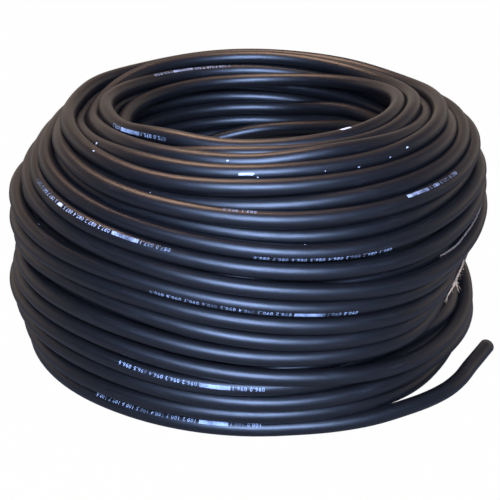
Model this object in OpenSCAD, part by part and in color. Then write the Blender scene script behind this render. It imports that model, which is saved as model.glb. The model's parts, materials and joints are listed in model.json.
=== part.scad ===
// Free-standing ring coil of flexible rubber-sheathed power cable.
// Z is up, the origin is at the middle of the coil's base, and the free end lies at +X, -Y.

/* [Cable] */
// Outer diameter of the cable's sheath
cable_d = 12.8; // [12.4:0.1:14.4]
// Diameter of one insulated core
core_d = 3.2; // [2.6:0.1:3.2]
// Diameter of one stranded copper conductor
conductor_d = 1.6; // [1.2:0.1:1.8]
// Thickness of the tape wrapped round the laid-up cores
tape_t = 0.15; // [0.1:0.05:0.3]
// Length of each cut end that is made with its inner layers
end_len = 26; // [15:1:40]

/* [Coil] */
// Diameter over the widest turn
coil_od = 420; // [410:1:440]
// Height of the coil over the top turns
coil_h = 208; // [200:1:230]
// How far the bottom turn lies in from the widest one, at the side
base_in = 10; // [7.5:0.5:17.5]
// Height of the widest turn above the base
belly_z = 90; // [75:1:105]
// Diameter of the open eye
eye_d = 228; // [215:1:235]
// Width of the rounded lip, from the open eye out to the highest ring of the top
lip_w = 26; // [22:1:31]

/* [Lay] */
// Loops in the outer layer, up the side, over the top and into the eye
loops = 24; // [18:1:24]
// Clear space between neighbouring turns
lay_gap = 0.9; // [0.9:0.1:1.4]
// How much higher the middle turns run on the left than level
lay_tilt = 4; // [0:0.5:4]
// Bearing of the joint between the bottom turn and the free end, in degrees
tail_bearing = -85; // [-100:1:-80]

/* [Tie] */
// Diameter of the twine
twine_d = 2.2; // [1.6:0.1:3]
// Diameter of the twine's knot
knot_d = 5; // [4:0.5:7]
// Bearing of the twine, in degrees
tie_bearing = -34; // [-50:1:-30]
// Height of the twine's lower end along the side
tie_low = 88; // [85:1:105]
// Height of the twine's upper end along the side
tie_high = 128; // [125:1:145]

/* [Fits] */
// Gap left between soft pieces that lie against each other
rest_gap = 0.3; // [0.2:0.1:0.5]
// Radial gap between the layers inside the cable
layer_gap = 0.05; // [0.02:0.01:0.1]
// Radial gap between a conductor and its insulation
wire_gap = 0.02; // [0.01:0.01:0.05]

/* [Hidden] */

// Free end from the joint outwards: degrees on from the joint, and cable diameters out from the bottom turn
tail_route = [[14, 0.31], [22, 0.55], [30, 0.74], [37, 1.0], [43, 1.17], [49, 1.19], [55, 1.13], [58.9, 1.21]];
// Inner end from the last turn: degrees on from the joint, and cable diameters in from the eye's turns
eye_route = [[16, 0.23], [29, 0.78], [42, 1.72], [54, 2.89]];

core_count = 5;
cable_r = cable_d / 2;
square_run = cable_d / 4;                      // each stretch leaves the face it meets straight for this length
pitch = cable_d + lay_gap;
ring_step = 15;                                // degrees between the rings of a turn
turn_sides = 6;
stretch_sides = 12;
profile_steps = 24;

// Middle line of the outer layer
floor_gap = 0.4;                               // the bottom turn stays this far above the core's flat base
base_z = cable_r + floor_gap;
belly_r = coil_od / 2 - cable_r;
base_r = belly_r - base_in;
crown_r = eye_d / 2 + lip_w;
crown_z = coil_h - cable_r;
eye_r = eye_d / 2 + cable_r;
lip_drop = crown_r - eye_r;
chord_sag = belly_r * (1 - cos(ring_step / 2));
seat = cable_r + chord_sag + rest_gap;          // from the turns' middle line to the core

// Layers inside the cable, from the middle out
core_ring_r = (core_d + 2 * layer_gap) / (2 * sin(180 / core_count));
tape_in_r = core_ring_r + core_d / 2 + layer_gap;
tape_out_r = tape_in_r + tape_t;
bore_r = tape_out_r + layer_gap;
filler_r = core_ring_r - core_d / 2 - layer_gap;

// The layer's path in a half section, as [radius, height]: side, shoulder, lip, then the eye's wall
side_path = [for (k = [0 : profile_steps]) let (w = 90 * k / profile_steps)
    [base_r + (belly_r - base_r) * sin(w), base_z + (belly_z - base_z) * w / 90]];
shoulder_path = [for (k = [1 : profile_steps]) let (w = 90 * k / profile_steps)
    [crown_r + (belly_r - crown_r) * cos(w), belly_z + (crown_z - belly_z) * sin(w)]];
lip_path = [for (k = [1 : profile_steps]) let (w = 90 * k / profile_steps)
    [crown_r - (crown_r - eye_r) * sin(w), crown_z - lip_drop * (1 - cos(w))]];
path = concat(side_path, shoulder_path, lip_path, [[eye_r, 0]]);

// Length along the path at each of its points
function run(k) = norm(path[k + 1] - path[k]);
reach = [for (k = 0, s = 0; k < len(path); s = s + (k + 1 < len(path) ? run(k) : 0), k = k + 1) s];
radius_at = [for (k = [0 : len(path) - 1]) [reach[k], path[k][0]]];
height_at = [for (k = [0 : len(path) - 1]) [reach[k], path[k][1]]];

function section(s) = [lookup(s, radius_at), lookup(s, height_at)];
function along(s) = let (v = section(s + 1) - section(s - 1), w = section(s + 1) - section(s))
    s < 1 ? w / norm(w) : v / norm(v);
function outward(s) = [along(s)[1], -along(s)[0]];
function s_at_height(z) = lookup(z, [for (k = [0 : 2 * profile_steps]) [path[k][1], reach[k]]]);

// Place along the path with the middle turns' tilt, which fades out towards the base and the shoulder
tilt_share = 0.85;
tilt_end = reach[2 * profile_steps] * tilt_share;
function tilted(s, bearing) =
    s > tilt_end ? s : s - lay_tilt * cos(bearing) * pow(sin(180 * s / tilt_end), 2);

function polar(r, bearing, z) = [r * cos(bearing), r * sin(bearing), z];
function turn_ring(level_s, bearing, shift) = let (
    s = tilted(level_s, bearing), p = section(s), t = along(s), n = outward(s),
    middle = polar(p[0], bearing, p[1]) + shift,
    out = polar(n[0], bearing, n[1]), on = polar(t[0], bearing, t[1]))
    [for (k = [0 : turn_sides - 1]) let (w = 360 * k / turn_sides)
        middle + cable_r * (cos(w) * out + sin(w) * on)];

rings_per_turn = 360 / ring_step;
last_ring = loops * rings_per_turn;
last_s = loops * pitch;
end_bearing = tail_bearing - loops * 360;
function clockwise(bearing) = [sin(bearing), -cos(bearing), 0];
tail_way = -clockwise(tail_bearing);
eye_way = clockwise(end_bearing);
turn_rings = concat(
    [turn_ring(0, tail_bearing, tail_way * cable_d)],
    [for (k = [0 : last_ring]) turn_ring(k / rings_per_turn * pitch, tail_bearing - k * ring_step, [0, 0, 0])],
    [turn_ring(last_s, end_bearing, eye_way * cable_d)]);

// Least gap between a turn and the next, measured at corners and mid-edges of rings one loop apart
function edge_points(ring) = [for (k = [0 : turn_sides - 1]) each
    [ring[k], (ring[k] + ring[(k + 1) % turn_sides]) / 2]];
function ring_gap(a, b) = min([for (p = edge_points(a)) for (q = edge_points(b)) norm(p - q)]);
least_gap = min([for (k = [1 : last_ring + 1 - rings_per_turn])
    ring_gap(turn_rings[k], turn_rings[k + rings_per_turn])]);
echo(least_gap_mm = least_gap);
echo(loop_path_mm = last_s, path_mm = reach[len(path) - 1]);

// Free end and inner end: middle lines, each starting at the face of the wound layer
tail_joint = polar(base_r, tail_bearing, base_z) + tail_way * cable_d;
tail_line = concat([tail_joint, tail_joint + tail_way * square_run],
    [for (p = tail_route) polar(base_r + p[1] * cable_d, tail_bearing + p[0], base_z)]);
eye_joint = polar(eye_r, end_bearing, section(last_s)[1]) + eye_way * cable_d;
eye_line = concat([eye_joint, eye_joint + eye_way * square_run],
    [for (p = eye_route) polar(eye_r - p[1] * cable_d, end_bearing - p[0], eye_joint[2])]);

function yaw(v) = atan2(v[1], v[0]);
function line_yaw(line, k) = let (n = len(line) - 1)
    k == 0 ? yaw(line[1] - line[0]) : k == n ? yaw(line[n] - line[n - 1]) : yaw(line[k + 1] - line[k - 1]);
function end_yaw(line) = line_yaw(line, len(line) - 1);
function end_point(line) = line[len(line) - 1];
// Rings stand upright and square to a level line
function level_rings(line, r, sides) = [for (k = [0 : len(line) - 1]) let (w = line_yaw(line, k) - 90)
    [for (j = [0 : sides - 1]) let (q = 360 * j / sides)
        line[k] + r * (cos(q) * [cos(w), sin(w), 0] - sin(q) * [0, 0, -1])]];

// Twine over the outside of the turns, slanting a little as it rises
tie_points = 7;
tie_slant = 6;
tie_rings = [for (k = [0 : tie_points - 1]) let (
    u = k / (tie_points - 1), bearing = tie_bearing - tie_slant * (1 - u),
    s = s_at_height(tie_low + (tie_high - tie_low) * u),
    p = section(s) + outward(s) * (cable_r + rest_gap + twine_d / 2))
    [for (j = [0 : 7]) let (q = 45 * j)
        polar(p[0], bearing, p[1])
        + twine_d / 2 * (cos(q) * [sin(bearing), -cos(bearing), 0] + sin(q) * [cos(bearing), sin(bearing), 0])]];

module tube(rings) {
    n = len(rings[0]);
    m = len(rings);
    polyhedron(
        points = [for (r = rings) each r],
        faces = concat(
            [for (k = [1 : n - 2]) [0, k, k + 1]],
            [for (i = [0 : m - 2]) for (k = [0 : n - 1]) let (a = i * n + k, b = i * n + (k + 1) % n)
                each [[a, a + n, b], [b, a + n, b + n]]],
            [for (k = [1 : n - 2]) let (a = (m - 1) * n) [a, a + k + 1, a + k]]));
}

// Inner turns of the coil as one plain ring, recessed where the outer layer lies on it
module coil_core() {
    step_z = section(last_s)[1] - cable_r - rest_gap;
    core_steps = 40;
    seat_line = [for (k = [0 : core_steps]) let (s = k / core_steps * (last_s - cable_r))
        section(s) - outward(s) * seat];
    color("#161618") rotate_extrude($fn = 96)
        polygon(concat(
            [[eye_d / 2, 0], [base_r - seat, 0]],
            seat_line,
            [[eye_r + seat, step_z], [eye_d / 2, step_z]]));
}

module outer_turns() {
    color("#1d1d20") tube(turn_rings);
}

module outer_stretch() {
    color("#1d1d20") tube(level_rings(tail_line, cable_r, stretch_sides));
}

module inner_stretch() {
    color("#1d1d20") tube(level_rings(eye_line, cable_r, stretch_sides));
}

module twine_tie() {
    color("#a08d80") tube(tie_rings);
}

module twine_knot() {
    s = s_at_height((tie_low + tie_high) / 2);
    p = section(s) + outward(s) * (cable_r + rest_gap + twine_d + layer_gap + knot_d / 2);
    bearing = tie_bearing - tie_slant / 2;
    color("#b5a191") translate(polar(p[0], bearing, p[1])) sphere(d = knot_d, $fn = 32);
}

// Puts a cut end, drawn along +Z, on the end of a level line
module at_end(line) {
    translate(end_point(line)) rotate([0, 0, end_yaw(line)]) rotate([0, 90, 0]) children();
}

module pipe(outer_r, inner_r) {
    difference() {
        cylinder(r = outer_r, h = end_len, $fn = 64);
        translate([0, 0, -1]) cylinder(r = inner_r, h = end_len + 2, $fn = 64);
    }
}

module end_sheath(line) {
    color("#1d1d20") at_end(line) pipe(cable_r, bore_r);
}

module end_tape(line) {
    color("#d8d4c8") at_end(line) pipe(tape_out_r, tape_in_r);
}

module end_filler(line) {
    color("#3a3a3a") at_end(line) cylinder(r = filler_r, h = end_len, $fn = 32);
}

module core_place(line, i) {
    at_end(line) rotate([0, 0, i * 360 / core_count]) translate([core_ring_r, 0, 0]) children();
}

module core_insulation(line, i, tint) {
    color(tint) core_place(line, i) pipe(core_d / 2, conductor_d / 2 + wire_gap);
}

module core_wire(line, i) {
    color("#b87333") core_place(line, i) cylinder(d = conductor_d, h = end_len, $fn = 32);
}

coil_core();
outer_turns();
outer_stretch();
inner_stretch();
twine_tie();
twine_knot();
end_sheath(tail_line);  // outer_end_sheath
end_tape(tail_line);  // outer_end_tape
end_filler(tail_line);  // outer_end_filler
core_insulation(tail_line, 0, "#1f4fa8");  // outer_core_blue
core_insulation(tail_line, 1, "#5a3420");  // outer_core_brown
core_insulation(tail_line, 2, "#1a1a1a");  // outer_core_black
core_insulation(tail_line, 3, "#7d7f82");  // outer_core_grey
core_insulation(tail_line, 4, "#7fae2e");  // outer_core_earth
core_wire(tail_line, 0);  // outer_wire_blue
core_wire(tail_line, 1);  // outer_wire_brown
core_wire(tail_line, 2);  // outer_wire_black
core_wire(tail_line, 3);  // outer_wire_grey
core_wire(tail_line, 4);  // outer_wire_earth
end_sheath(eye_line);  // inner_end_sheath
end_tape(eye_line);  // inner_end_tape
end_filler(eye_line);  // inner_end_filler
core_insulation(eye_line, 0, "#1f4fa8");  // inner_core_blue
core_insulation(eye_line, 1, "#5a3420");  // inner_core_brown
core_insulation(eye_line, 2, "#1a1a1a");  // inner_core_black
core_insulation(eye_line, 3, "#7d7f82");  // inner_core_grey
core_insulation(eye_line, 4, "#7fae2e");  // inner_core_earth
core_wire(eye_line, 0);  // inner_wire_blue
core_wire(eye_line, 1);  // inner_wire_brown
core_wire(eye_line, 2);  // inner_wire_black
core_wire(eye_line, 3);  // inner_wire_grey
core_wire(eye_line, 4);  // inner_wire_earth
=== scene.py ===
import functools
import json
import math

import bmesh
import bpy
import numpy as np
from bpy.props import FloatProperty, FloatVectorProperty, PointerProperty
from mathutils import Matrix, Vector

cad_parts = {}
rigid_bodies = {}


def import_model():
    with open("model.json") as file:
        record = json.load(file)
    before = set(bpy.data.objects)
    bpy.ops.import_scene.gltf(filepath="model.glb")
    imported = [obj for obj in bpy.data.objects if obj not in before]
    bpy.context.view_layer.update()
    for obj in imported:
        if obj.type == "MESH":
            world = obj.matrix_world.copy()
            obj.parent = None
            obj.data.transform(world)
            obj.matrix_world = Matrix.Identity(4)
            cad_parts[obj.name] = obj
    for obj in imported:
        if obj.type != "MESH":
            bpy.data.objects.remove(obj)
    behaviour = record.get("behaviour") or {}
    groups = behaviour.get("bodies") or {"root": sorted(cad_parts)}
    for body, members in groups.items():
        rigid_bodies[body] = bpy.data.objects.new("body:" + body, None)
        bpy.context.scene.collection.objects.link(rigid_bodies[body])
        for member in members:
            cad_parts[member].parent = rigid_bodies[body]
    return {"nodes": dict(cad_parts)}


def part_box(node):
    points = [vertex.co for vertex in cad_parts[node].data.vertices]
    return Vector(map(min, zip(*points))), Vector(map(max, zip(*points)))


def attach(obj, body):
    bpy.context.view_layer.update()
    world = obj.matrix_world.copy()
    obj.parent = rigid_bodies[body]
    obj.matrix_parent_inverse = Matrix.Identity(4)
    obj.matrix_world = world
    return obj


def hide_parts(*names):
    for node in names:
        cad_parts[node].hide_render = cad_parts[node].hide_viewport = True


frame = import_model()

bl_info = {
    "name": "Ring coil of flexible cable",
    "version": (1, 0, 0),
    "blender": (4, 5, 0),
    "location": "3D Viewport > Sidebar > Cable Coil",
    "description": "Builds a free ring coil of rubber cable with its tie, cut ends and metre marks",
    "category": "Add Mesh",
}

# ---------------------------------------------------------------- the coil's sizes
# Lengths in this part are millimetres and bearings are degrees. The cable is wound with its
# bearing falling: station k of turn t lies at START - 360 * t - k * STEP_DEG.
CABLE_D = 12.8
STEPS = 72                     # stations in a turn
STEP_DEG = 360 / STEPS
START = -85.0                  # bearing where the tail leaves the bottom turn

# The section's path runs up the side, over the shoulder, round the lip and down into the eye.
# A place on it is s, the length along it from the foot. Each pair is a radius and a height.
FOOT = (193.6, 6.8)
BELLY = (203.6, 90.0)
CROWN = (140.0, 201.6)
EYE_R = 120.4
ARC_PARTS = 24                 # spans in each of its three bends

# Places of the visible turns, bottom to top, at the FRONT bearings
FRONT = np.arange(-180, 1, 20.0)
TURN_PLACES = np.array([
    # -180, -160, -140, -120, -100, -80, -60, -40, -20, 0
    [0, 0, 1, 1.5, 1, 0, 0, 0, 0, 0],
    [14, 15, 15, 16, 16, 14.3, 9, 3.5, 2.5, 3],
    [33, 33, 33, 31, 28, 26.5, 24.5, 21.5, 18, 18],
    [50, 50, 52, 47, 41, 36, 34, 30, 27, 30],
    [66, 66, 67, 64, 55.5, 48.5, 42, 36, 35, 42],
    [83, 83, 83, 81, 72.5, 65.5, 62, 54, 60, 68],
    [98, 99, 101, 97, 88, 78.5, 74, 71, 77, 84],
    [110, 109, 111, 109, 102.5, 92.5, 86.5, 84, 91, 98],
    [131, 128, 123, 120.5, 113.5, 105.5, 98, 92, 101, 110],
    [154, 150, 143.5, 135, 126.5, 118.5, 112, 111, 122, 127],
    [172, 164, 154.5, 147.5, 140.5, 133, 129, 131.5, 139, 143],
    [186, 180, 168, 160.5, 153.5, 146.5, 145, 149, 156, 158],
    [194, 189, 179, 171.5, 164, 157.5, 156, 159, 166, 169],
    [204, 199, 188, 180, 173, 170, 170, 171, 174, 176],
    [206, 203, 192, 184, 182, 181.5, 182, 183, 187, 189],
    [205, 206, 202, 193, 192, 193, 194, 196, 199, 201],
    [215, 216, 213, 207.5, 206, 206.5, 207.5, 208, 209, 209],
    [226, 226, 224, 220, 217, 216, 216.5, 217, 217, 217],
])
# How far a turn lies out of the path there, for the rows of TURN_PLACES that leave it
TURN_SHIFTS = np.zeros_like(TURN_PLACES)
for turn, shifts in {
    1: [0, 0, 0, 0, 0, 0, -2.5, -8.5, -10, -10],
    2: [-2, -2, -3, -2, 0, 0, -1.5, -2.5, 0, 0],
    3: [0, 0, 0, 0, 0, -3, -9, -12, -12, -10],
    4: [0, 0, 0, 0, 0, 1.5, 3, 2.5, 0.5, -1.5],
    5: [0, 0, 0, 0, 0, 0, -1, -7, -9, -8],
    6: [0, 0, -4, -3, 0, 0, 0, -5, -7, -7],
    7: [0, 0, 0, -1, 0, 0, 0, -1, -4, -4],
    8: [0, 0, 0, 0, 0, 0, -3, -5, -5.5, -4],
    12: [-5, -6, -8, -8, -7, -6, -6, -7, -8, -8],
    14: [-8, -8, -8, -6, -4, -3, 0, 0, 0, 0],
    16: [-2, -2, -1, 0, 0, 0, 0, 0, 0, 0],
}.items():
    TURN_SHIFTS[turn] = shifts
WANDER = 2.5                   # most that a turn wanders at the back
LAST_BACK = (228, 2)           # place and shift where the last of these turns comes round the back
# Its climb onto the top, and the two loops that lie there, as bearings and (radius, height)
CLIMB_BEARINGS = np.array([-445, -420, -390, -360.0])
CLIMB = np.array([(132.5, 203), (134, 203), (136, 203.5), (136.5, 203.5)])
LOOP_BEARINGS = -np.array([85, 105, 125, 145, 165, 180, 210, 240, 270, 300, 330, 360, 390, 420, 445.0])
LOOPS = np.array([
    [(132.5, 203), (131, 200), (125, 193), (116, 188.5), (110.5, 187.5), (109, 187.5), (112, 187.5),
     (117, 188), (121, 189), (122.5, 193), (122.5, 199), (122.5, 205), (122, 206), (120.5, 205),
     (119.5, 204)],
    [(119.5, 204), (120, 203), (121, 202), (122.5, 200.5), (123.5, 199.5), (124.5, 199), (127.5, 197.5),
     (130.5, 196), (131.5, 195.5), (133, 193.5), (133, 191.5), (132, 190.5), (131, 190), (131, 189.5),
     (131, 189)],
])

# How far the coil swells out of its path (in where negative): a row for each bearing, a column
# for each place along the path
SWELL_BEARINGS = np.arange(-180, 181, 30.0)
SWELL_PLACES = np.array([0, 20, 42, 62, 78, 92, 110, 130, 150, 172, 200, 226, 250.0])
SWELL = np.array([
    # 0, 20, 42, 62, 78, 92, 110, 130, 150, 172, 200, 226, 250
    [3,  5, 12,  2, -4, -5,  0,  2, -4, -11, -11, -12, -6],  # -180
    [2,  2,  5,  2,  0, -1,  0,  1,  0, -2, -3, -5,  0],  # -150
    [0,  0,  0,  0,  0,  0,  0,  0,  0,  0,  0,  0,  0],  # -120
    [0,  0,  0,  0,  0,  0,  0,  0,  0,  0,  0,  0,  0],  # -90
    [0,  0, -1, -2, -2, -1,  0,  0,  0,  0,  0,  1,  1],  # -60
    [-3, -5, -11, -22, -20, -15, -7, -5, -2,  2,  1,  1,  2],  # -30
    [-4, -7, -14, -25, -21, -15, -9, -8, -3,  3, -1, -3,  0],  # 0
    [-3, -5, -12, -18, -15, -11, -8, -6, -3,  0, -5, -5, -2],  # 30
    [0, -1, -4, -7, -6, -5, -3, -2,  0,  0,  0, -1, -1],  # 60
    [0,  0,  0,  0,  0,  0,  0,  0,  0,  0,  1,  0,  0],  # 90
    [0,  0,  0,  0,  0,  0,  0,  0,  0,  0,  0, -2, -2],  # 120
    [1,  1,  3,  1,  0, -1,  0,  1,  0, -3, -5, -7, -4],  # 150
    [3,  5, 12,  2, -4, -5,  0,  2, -4, -11, -11, -12, -6],  # 180
], float)
# The hollow behind the loose turns at the lower right: its middle and half its size
HOLLOW_DEPTH = 10.0
HOLLOW_BEARING, HOLLOW_HALF_ANGLE = -22, 58
HOLLOW_PLACE, HOLLOW_HALF_LENGTH = 52, 52

# The hidden layers. Depth under the path, first and last place, turns, share of the swell that
# it follows, least radius
UNDER_LAYERS = [(12.7, 252, 0, 17, 0.9, 132.5), (25.2, 0, 226, 14, 0.65, 143.5)]
# Radius, first and last height, pitch of the upright walls of turns inside those
MIDDLE_WALL = (162.5, 170, 16, 12.8)
INNER_WALLS = [(147.0, 9, 166, 12.8), (133.6, 180, 6.8, 12.82), (EYE_R, 6.8, 98, 12.95)]
LIP_WALL = (EYE_R, 181, 112, 13.0)
LIP_TILT, LIP_TILT_BEARING, LIP_DROP = 9, 160, 5    # the lip's wall is lowered, most at that bearing
RISE_BOW, RISE_BLUNT = 12.5, 0.7    # how far the turn that rises up the eye bows in, and its bluntness
LOOSE_R, WALL_R = 100.0, 119.8      # least radius of the loose turns and of the walls
WALL_BULGE, WALL_BULGE_BEARING = 12, -5    # how much further in the walls may come at that bearing

SET_ROUNDS, BLEND_STATIONS = 60, 20    # rounds that blend the layers, and stations of the outer one in it
RELAX_ROUNDS = 200
PUSH = 1.215                   # share of the overlap that a round takes away, before it is spread
HOLD = {"outer": 0.06, "rise": 0.02, "lip": 0.02}    # pull of these turns to their first place
OUTER_FREEDOM = 0.3            # how freely a visible turn gives way, where a hidden one has 1
SMOOTHING = 0.5
GRIP_D = 12.85                 # turns nearer than this are pushed apart
FLOOR = 6.4                    # least height of a turn's middle

# ---------------------------------------------------------------- the two ends
# Each route is how far the bearing has gone, and how far the end has left the coil in cable diameters
TAIL_ROUTE = np.array([(14, 0.31), (22, 0.55), (30, 0.74), (37, 1.0),
                       (43, 1.17), (49, 1.19), (55, 1.13), (58.9, 1.21)])
EYE_ROUTE = np.array([(16, 0.23), (29, 0.78), (42, 1.72), (54, 2.89)])
TAIL_PLACE = FOOT              # radius and height where the tail leaves the bottom turn
EYE_PLACE = (EYE_R, 108.1)     # radius and height where the inner end leaves the eye's wall
JOIN_STATIONS = 26             # stations over which the winding eases to those places
END_LEN = 26.0                 # length of each cut end, which is straight
OUTER_TURNS = 37               # turns in the outer piece: the visible layer and the one under it


# ---------------------------------------------------------------- curves
def polar(r, bearing, z):
    """Point at a radius, a bearing and a height."""
    a = np.radians(bearing)
    return np.stack([r * np.cos(a), r * np.sin(a), np.broadcast_to(z, np.shape(r * a))], -1)


def unit(v):
    return v / np.linalg.norm(v, axis=-1, keepdims=True)


def ease(x):
    """Smooth step 3 x squared - 2 x cubed."""
    return x * x * (3 - 2 * x)


def reach_of(path):
    """Length of a path up to each of its points."""
    return np.r_[0, np.cumsum(np.linalg.norm(np.diff(path, axis=0), axis=1))]


def smooth_through(knots, values, x):
    """Cubic through (knots, values), with its slopes from the neighbouring points."""
    slope = np.gradient(values, knots, axis=0)
    i = np.clip(np.searchsorted(knots, x) - 1, 0, len(knots) - 2)
    h = knots[i + 1] - knots[i]
    t = (x - knots[i]) / h
    if np.ndim(values) > 1:
        t, h = t[:, None], h[:, None]
    return ((2 * t**3 - 3 * t**2 + 1) * values[i] + (t**3 - 2 * t**2 + t) * h * slope[i]
            + (3 * t**2 - 2 * t**3) * values[i + 1] + (t**3 - t**2) * h * slope[i + 1])


def finer(path, times):
    """Catmull-Rom curve through the points of a path, with each span cut into that many parts."""
    p = np.concatenate([[2 * path[0] - path[1]], path, [2 * path[-1] - path[-2]]])
    t = (np.arange(times) / times)[None, :, None]
    a, b, c, d = p[:-3, None], p[1:-2, None], p[2:-1, None], p[3:, None]
    q = 0.5 * (2 * b + (c - a) * t + (2 * a - 5 * b + 4 * c - d) * t * t + (3 * b - a - 3 * c + d) * t ** 3)
    return np.concatenate([q.reshape(-1, path.shape[1]), path[-1:]])


def even(path, step):
    """Points at even distances, about a step apart, along a path."""
    reach = reach_of(path)
    at = np.linspace(0, reach[-1], max(int(round(reach[-1] / step)), 1) + 1)
    return np.stack([np.interp(at, reach, path[:, k]) for k in range(path.shape[1])], -1)


def frame_of(path):
    """Tangent t, side direction across = unit(t x z) and up = across x t at each point of a path."""
    t = unit(np.gradient(path, axis=0))
    across = unit(np.cross(t, [0, 0, 1.0]))
    return t, across, np.cross(across, t)


# ---------------------------------------------------------------- the winding
# Turns are arrays of (turn, station, radius and height).
@functools.cache
def section_path():
    """The section's path, and the length up to each of its points.

    With w from 0 to 90 degrees, the side bows out by sin(w) from the foot to the belly while it
    rises evenly, the shoulder is a quarter of an ellipse from the belly to the crown, and the
    lip is a quarter of a circle from the crown to the eye's wall.
    """
    share = np.arange(ARC_PARTS + 1) / ARC_PARTS
    w = np.radians(90 * share)
    side = np.c_[FOOT[0] + (BELLY[0] - FOOT[0]) * np.sin(w), FOOT[1] + (BELLY[1] - FOOT[1]) * share]
    w = w[1:]
    shoulder = np.c_[CROWN[0] + (BELLY[0] - CROWN[0]) * np.cos(w),
                     BELLY[1] + (CROWN[1] - BELLY[1]) * np.sin(w)]
    lip_r = CROWN[0] - EYE_R
    lip = np.c_[CROWN[0] - lip_r * np.sin(w), CROWN[1] - lip_r * (1 - np.cos(w))]
    path = np.r_[side, shoulder, lip, [[EYE_R, 0]]]
    return path, reach_of(path)


def lay(s, n):
    """Radius and height of the places s on the section's path, moved n outwards from it."""
    path, reach = section_path()

    def at(place):
        return np.stack([np.interp(place, reach, path[:, k]) for k in (0, 1)], -1)

    r, z = np.moveaxis(unit(at(s + 1.5) - at(np.maximum(s - 1.5, 0))), -1, 0)
    return at(s) + np.stack([z * n, -r * n], -1)


def wrapped(bearing):
    return (bearing + 180) % 360 - 180


def swell(bearing, s):
    """How far the coil swells at a bearing and a place, eased between the values in SWELL."""
    def cell(grid, x):
        i = np.clip(np.searchsorted(grid, x, side="right") - 1, 0, len(grid) - 2)
        return i, ease(np.clip((x - grid[i]) / (grid[i + 1] - grid[i]), 0, 1))

    i, u = cell(SWELL_BEARINGS, wrapped(bearing))
    j, v = cell(SWELL_PLACES, s)
    return ((SWELL[i, j] * (1 - u) + SWELL[i + 1, j] * u) * (1 - v)
            + (SWELL[i, j + 1] * (1 - u) + SWELL[i + 1, j + 1] * u) * v)


def hollow(bearing, s):
    """Depth of the hollow at the lower right: a squared cosine both ways, nothing past its edges."""
    across = np.clip((wrapped(bearing) - HOLLOW_BEARING) / HOLLOW_HALF_ANGLE, -1, 1)
    along = np.clip((s - HOLLOW_PLACE) / HOLLOW_HALF_LENGTH, -1, 1)
    return HOLLOW_DEPTH * np.cos(np.radians(90) * across) ** 2 * np.cos(np.radians(90) * along) ** 2


def outer_layer(rng):
    """The visible turns.

    In front a turn goes through its row of TURN_PLACES and, after the back, through the next
    row. At the back it eases from one row to the next, with a random wander on top:
    sin(pi x) * (a * sin(2 pi x) + b * sin(pi x)), x being the share of the back. The swell and
    the row's shift move it off the path. The last turn climbs onto the top, where two loops lie.
    """
    bearing = START - STEP_DEG * np.arange(STEPS)
    before, after = bearing >= -180, bearing <= -360
    back = ~(before | after)
    x = (-180 - bearing[back]) / 180
    w = ease(x)
    turns = []
    for row, places in enumerate(TURN_PLACES):
        place, shift = np.empty((2, STEPS))
        if row + 1 < len(TURN_PLACES):
            coming = TURN_PLACES[row + 1][-1], TURN_SHIFTS[row + 1][-1]
            place[after] = smooth_through(FRONT, TURN_PLACES[row + 1], bearing[after] + 360)
            shift[after] = smooth_through(FRONT, TURN_SHIFTS[row + 1], bearing[after] + 360)
        else:
            coming = LAST_BACK
            place[after], shift[after] = coming
        place[before] = smooth_through(FRONT, places, bearing[before])
        shift[before] = smooth_through(FRONT, TURN_SHIFTS[row], bearing[before])
        a, b = rng.uniform(-WANDER, WANDER, 2)
        place[back] = (places[0] * (1 - w) + coming[0] * w
                       + np.sin(np.pi * x) * (a * np.sin(2 * np.pi * x) + b * np.sin(np.pi * x)))
        shift[back] = TURN_SHIFTS[row][0] * (1 - w) + coming[1] * w
        turns.append(lay(place, shift + swell(bearing, place)))
    turns[-1][after] = smooth_through(CLIMB_BEARINGS, CLIMB, bearing[after])
    turns += [smooth_through(-LOOP_BEARINGS, loop, -bearing) for loop in LOOPS]
    return np.array(turns)


def under_layer(depth, first, last, turns, follow, least_r):
    """Turns evenly along the path at a depth under it, which follow the swell by a share."""
    s = np.linspace(first, last, 400)
    points = lay(s, np.full(400, -depth))
    kept = (points[:, 0] >= least_r) & (points[:, 1] >= FOOT[1])
    reach = reach_of(points[kept])
    at = np.interp(np.arange(turns * STEPS) / (turns * STEPS) * reach[-1], reach, s[kept])
    at = at.reshape(turns, STEPS)
    bearing = np.broadcast_to(START - STEP_DEG * np.arange(STEPS), at.shape)
    return lay(at, -depth + follow * swell(bearing, at) - hollow(bearing, at))


def wall(radius, first, last, pitch):
    """Upright wall of turns on one radius, between two heights at about that pitch."""
    turns = int(abs(last - first) / pitch)
    z = first + (last - first) * np.arange(turns * STEPS) / (turns * STEPS)
    return np.stack([np.full(len(z), radius), z], -1).reshape(turns, STEPS, 2)


def rise(first, last):
    """One turn that climbs the eye, bowed inwards by sin(pi x) to the power RISE_BLUNT."""
    x = np.linspace(0, 1, STEPS)
    r = EYE_R - RISE_BOW * np.sin(np.pi * x) ** RISE_BLUNT
    return np.stack([r, first + (last - first) * ease(x)], -1)[None]


def weighted(points, weights):
    """Weighted mean of each point and its neighbours, with the end points repeated past the ends."""
    half = len(weights) // 2
    wide = np.pad(points, ((half, half), (0, 0)), mode="edge")
    return sum(w * wide[k:k + len(points)] for k, w in enumerate(weights)) / sum(weights)


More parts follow.
